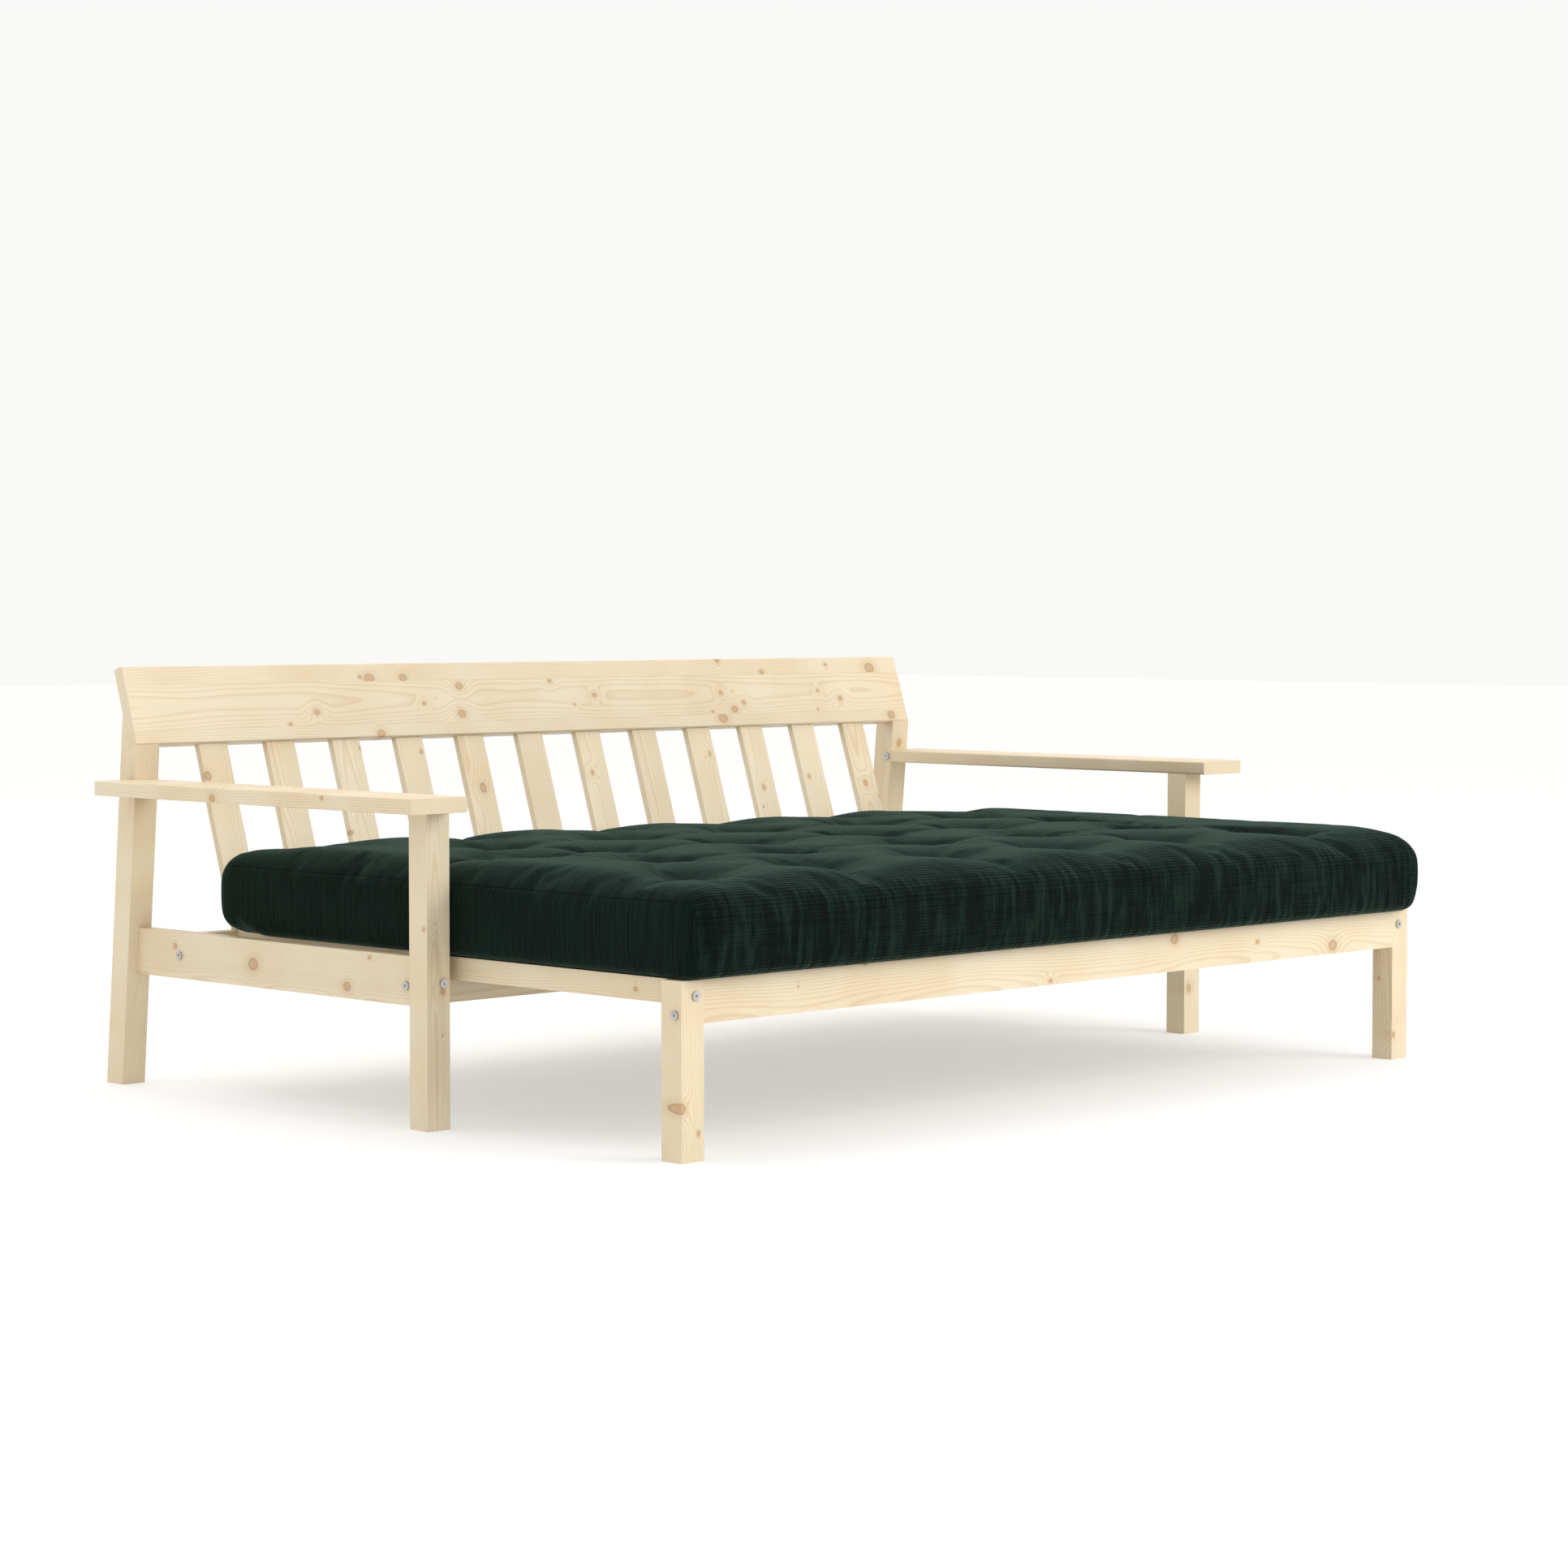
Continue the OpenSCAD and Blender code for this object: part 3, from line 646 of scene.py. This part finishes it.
def fill_futon(piece):
    """Blows the cover up like its filling does, held down at the tufts and underneath."""
    chosen(piece)
    co = points_of(piece)
    gap = near_tuft(co)
    top = co[:, 2] > FUTON_LOW + 0.08
    co[:, 2] -= np.where(top, TUFT_DIP * np.exp(-((gap / TUFT_WIDE) ** 2)), 0.0)
    inside = np.clip((FUTON_HALF - BORDER_ZONE - np.abs(co[:, 0])) / FURROW_FADE, 0, 1)
    for row in TUFTS:
        off = (co[:, 1] - FUTON_FRONT - row) / FURROW_WIDE
        co[:, 2] -= np.where(top, FURROW_DIP * inside * np.exp(-(off**2)), 0.0)
    put_points(piece, co)
    held = piece.vertex_groups.new(name="held")
    under = co[:, 2] < FUTON_LOW + UNDERSIDE
    tied = top & (gap < TIE_RADIUS)
    held.add([int(i) for i in np.nonzero(under | tied)[0]], 1.0, "REPLACE")
    before = co.copy()
    cloth = piece.modifiers.new("filling", "CLOTH")
    fabric = cloth.settings
    fabric.quality = 4
    fabric.mass = 0.35
    fabric.tension_stiffness = fabric.compression_stiffness = 18
    fabric.shear_stiffness = 6
    fabric.bending_stiffness = 0.6
    fabric.air_damping = 3
    fabric.use_pressure = True
    fabric.uniform_pressure_force = 4.0
    fabric.shrink_min = -0.022
    fabric.vertex_group_mass = "held"
    fabric.pin_stiffness = 1.0
    fabric.effector_weights.gravity = 0.0
    cloth.collision_settings.use_collision = False
    cloth.collision_settings.use_self_collision = False
    cloth.point_cache.frame_start, cloth.point_cache.frame_end = 1, STEPS
    scene = bpy.context.scene
    for step in range(1, STEPS + 1):
        scene.frame_set(step)
    bpy.ops.object.modifier_apply(modifier=cloth.name)
    scene.frame_set(1)
    move = points_of(piece) - before
    far = np.linalg.norm(move, axis=1)
    move *= (np.minimum(far, MOST_MOVE) / np.maximum(far, 1e-9))[:, None]
    move[:, :2] *= BORDER_GIVE
    after = before + move
    full = np.sin(np.pi * np.clip((before[:, 2] - FUTON_LOW) / BLOCK_HIGH, 0, 1)) ** 0.6
    for axis, side, edge, belly, _ in BORDERS:
        inward = edge - before[:, axis] * side
        after[:, axis] += side * belly * full * np.exp(-((inward / BELLY_REACH) ** 2))
    put_points(piece, after)


def fit_futon(piece):
    """Keeps the filled cover in the room it has, easing it off near each limit."""
    co = points_of(piece)
    limits = [(axis, side, furthest) for axis, side, _, _, furthest in BORDERS]
    limits.append((2, 1, HIGHEST))
    for axis, side, limit in limits:
        start = limit - SOFT_STOP
        over = co[:, axis] * side - start
        eased = (start + SOFT_STOP * np.tanh(np.maximum(over, 0) / SOFT_STOP)) * side
        co[:, axis] = np.where(over > 0, eased, co[:, axis])
    off_fold = (co[:, 1] - FOLD_Y + HOLLOW_AHEAD) / HOLLOW_WIDE
    hollow = HOLLOW_DIP * np.exp(-(off_fold**2))
    co[:, 2] = np.maximum(co[:, 2], FUTON_LOW + hollow)
    put_points(piece, co)


def subdivide_futon(piece):
    chosen(piece)
    rounder = piece.modifiers.new("rounder", "SUBSURF")
    rounder.levels = rounder.render_levels = 1
    bpy.ops.object.modifier_apply(modifier=rounder.name)
    bpy.ops.object.shade_smooth()


def soft_noise(points, scale, seed):
    """Smooth noise between -1 and 1, with its own fineness along each axis."""
    x, y, z = scale
    return np.array([noise.noise(Vector((p[0] * x + seed, p[1] * y, p[2] * z))) for p in points])


def pleat_futon(piece):
    """Upright pleats in the front and rear borders, where the cover is gathered."""
    co = points_of(piece)
    normals = normals_of(piece)
    facing = np.clip((np.abs(normals[:, 1]) - 0.35) / 0.4, 0, 1)
    rows = np.nonzero(facing > 0.01)[0]
    p = co[rows]
    coarse = soft_noise(p, (22, 2, 5), 3.0)
    fine = soft_noise(p, (52, 2, 9), 11.0)
    where = 0.5 + 0.5 * soft_noise(p, (5, 2, 6), 31.0)
    depth = -WIDE_PLEAT * np.abs(coarse) ** 0.8 * where - NARROW_PLEAT * np.abs(fine) * where
    height = (p[:, 2] - FUTON_LOW) / FUTON_THICK
    band = np.clip(height / 0.2, 0, 1) * np.clip((1.1 - height) / 0.3, 0, 1)
    co[rows] += normals[rows] * (depth * band * facing[rows])[:, None]
    put_points(piece, co)


def mark_futon(piece):
    """Lays the ribs out. They run across the futon, go on down its front and rear, and turn down
    its ends. The ends and the distance to the nearest tuft are marked too."""
    co = points_of(piece)
    normals = normals_of(piece)
    top = FUTON_LOW + FUTON_THICK
    along = co[:, 1].copy()
    for side, edge in ((-1, FUTON_FRONT), (1, FUTON_REAR)):
        inner = edge - side * RIB_TURN
        out = (co[:, 1] - inner) * side
        up = co[:, 2] - (top - RIB_TURN)
        turned = np.arctan2(np.maximum(out, 0), np.maximum(up, 1e-6)) * RIB_TURN
        path = np.where(up > 0, turned, RIB_TURN * math.pi / 2 - up)
        along = np.where(out > 0, inner + side * path, along)
    sideways = np.abs(normals[:, 0]) > np.abs(normals[:, 1])
    end = sideways & (np.abs(co[:, 0]) > FUTON_HALF - BORDER_ZONE)
    for name, values in (("RIB", along), ("END", end.astype(float)), ("TUFT", near_tuft(co))):
        attribute = piece.data.attributes.new(name, "FLOAT", "POINT")
        attribute.data.foreach_set("value", values.astype(np.float32))


CLOTH_DEEP, CLOTH_PALE = (0.0042, 0.0112, 0.0080, 1), (0.0066, 0.0170, 0.0124, 1)
PILE_TIPS = (0.010, 0.024, 0.017, 1)
STREAK_DARK = (0.0016, 0.0040, 0.0029, 1)
# Painted shade for the valleys between the ribs
PAINTED_RIB_SHADE = (0.0010, 0.0026, 0.0018, 1)
SEAM_DARK = (0.001, 0.002, 0.0015, 1)
# Painted shade for the hollows of the pleats, and a painted highlight for their crests
PLEAT_SHADE, PLEAT_HIGHLIGHT = (0.0014, 0.0034, 0.0025, 1), (0.0125, 0.0285, 0.0210, 1)


def corduroy():
    """The cover's cloth: ribs with painted shade in their valleys, pile, the seam of its ends and
    the pleats of its front and rear, with painted shade in their hollows and a painted highlight on
    their crests.
    """
    finish = Finish("green_corduroy")
    where = finish.place()
    x, y, z = finish.parts(where)

    def read(name):
        return finish.node("ShaderNodeAttribute", {"attribute_name": name}, output="Fac")

    rib, end, tuft = read("RIB"), read("END"), read("TUFT")
    wobble = (finish.noise(where, 4.0, 1.0) - 0.5) * 0.0025
    end_mask = end.ease(0.45, 0.55)
    across = rib * (1 - end_mask) + y * end_mask + wobble
    cord = (across * (2 * math.pi / WALE)).wave() * 0.5 + 0.5
    rib_shade = 1 - cord.power(0.7)
    run = x * (1 - end_mask) + z * end_mask
    grid = finish.node("ShaderNodeCombineXYZ", None, {0: across * 170, 1: run * 6})
    streak = finish.noise(grid, 1.0, 2.0, 0.6)
    pile = finish.noise(where, 900.0, 2.0, 0.7)
    cloud = finish.noise(where, 7.0, 3.0)
    colour = finish.mix(cloud.ease(0.3, 0.75), CLOTH_DEEP, CLOTH_PALE)
    colour = finish.mix(pile.ease(0.35, 0.8) * 0.35, colour, PILE_TIPS)
    colour = finish.mix(streak.ease(0.58, 0.36) * 0.55, colour, STREAK_DARK)
    # Painted shade: the colour darkens in the valleys between the ribs
    colour = finish.mix(rib_shade * 0.62, colour, PAINTED_RIB_SHADE)
    seam_sway = (finish.noise(where, 3.0, 1.0) - 0.5) * 0.006
    seam = ((z - SEAM_Z) - seam_sway).bell(SEAM_WIDE) * end_mask
    colour = finish.mix(seam * 0.55, colour, SEAM_DARK)
    pleat = finish.noise(finish.vector("MULTIPLY", where, (1, 0.1, 0.16)), 85.0, 2.0, 0.55)
    below_top = z.ease(FUTON_LOW + FUTON_THICK * 0.98, FUTON_LOW + FUTON_THICK * 0.80)
    front = (1 - end_mask) * below_top
    # Painted shade in the hollows and a painted highlight on the crests of the front and rear
    # pleats
    pleat_shade_mask = pleat.ease(0.54, 0.36) * front
    colour = finish.mix(pleat_shade_mask * 0.60, colour, PLEAT_SHADE)
    colour = finish.mix(pleat.ease(0.50, 0.68) * front * 0.45, colour, PLEAT_HIGHLIGHT)
    pucker = finish.noise(where, 60.0, 2.0) * tuft.ease(0.10, 0.0)
    weave = cord * 0.8 + streak * 0.6 + pile * 0.25
    height = weave - seam * 1.0 + pleat * front * 3.2 + pucker * 1.2
    return finish.surface(
        height,
        depth=0.0011,
        strength=0.9,
        Base_Color=colour,
        Roughness=0.86,
        Sheen_Weight=0.17,
        Sheen_Roughness=0.25,
        Sheen_Tint=(0.50, 0.92, 0.74, 1),
        Specular_IOR_Level=0.05,
    )


futon = futon_block()
fill_futon(futon)
fit_futon(futon)
subdivide_futon(futon)
pleat_futon(futon)
mark_futon(futon)
futon.data.materials.clear()
futon.data.materials.append(corduroy())
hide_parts("mattress_seat", "mattress_fold", "mattress_back")
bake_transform(futon)

# ---- Floor, light and camera ----

clear_selection()
bpy.ops.mesh.primitive_plane_add(size=60, location=(0, 0, 0))
floor = bpy.context.object
floor.name = "floor"
paint = Finish("pale_floor")
mottle = paint.noise(paint.place(), 1.5, 2.0)
floor.data.materials.append(
    paint.surface(
        Base_Color=paint.mix(mottle, (0.55, 0.55, 0.548, 1), (0.57, 0.57, 0.567, 1)),
        Roughness=0.85,
        Specular_IOR_Level=0.1,
        Emission_Color=(1.0, 0.998, 0.99, 1),
        Emission_Strength=0.44,
    )
)

world = bpy.data.worlds.new("studio")
world.use_nodes = True
world.node_tree.nodes["Background"].inputs["Color"].default_value = (1.0, 0.995, 0.985, 1)
world.node_tree.nodes["Background"].inputs["Strength"].default_value = 0.95
bpy.context.scene.world = world


def softbox(name, place, aim, size, power, colour=(1, 1, 1)):
    """A square lamp, turned to what it lights."""
    lamp = bpy.data.lights.new(name, "AREA")
    lamp.energy, lamp.size, lamp.color = power, size, colour
    stand = bpy.data.objects.new(name, lamp)
    stand.location = place
    stand.rotation_euler = (Vector(aim) - Vector(place)).to_track_quat("-Z", "Y").to_euler()
    bpy.context.scene.collection.objects.link(stand)


softbox("key", (3.2, -6.0, 3.6), (0, 0, 0.4), 4.0, 240, (1.0, 0.985, 0.96))
softbox("top", (-1.0, 1.5, 5.0), (0, 0, 0.3), 5.0, 90)

lens = bpy.data.cameras.new("camera")
lens.lens, lens.sensor_width, lens.sensor_fit = 84.53, 36.0, "HORIZONTAL"
lens.clip_start, lens.clip_end = 0.1, 200.0
camera = bpy.data.objects.new("camera", lens)
camera.location = (-4.8222, -4.7893, 0.8523)
camera.rotation_euler = (math.radians(90 - 2.727), 0, -math.radians(45.14))
bpy.context.scene.collection.objects.link(camera)
bpy.context.scene.camera = camera
bpy.context.scene.view_settings.view_transform = "Standard"
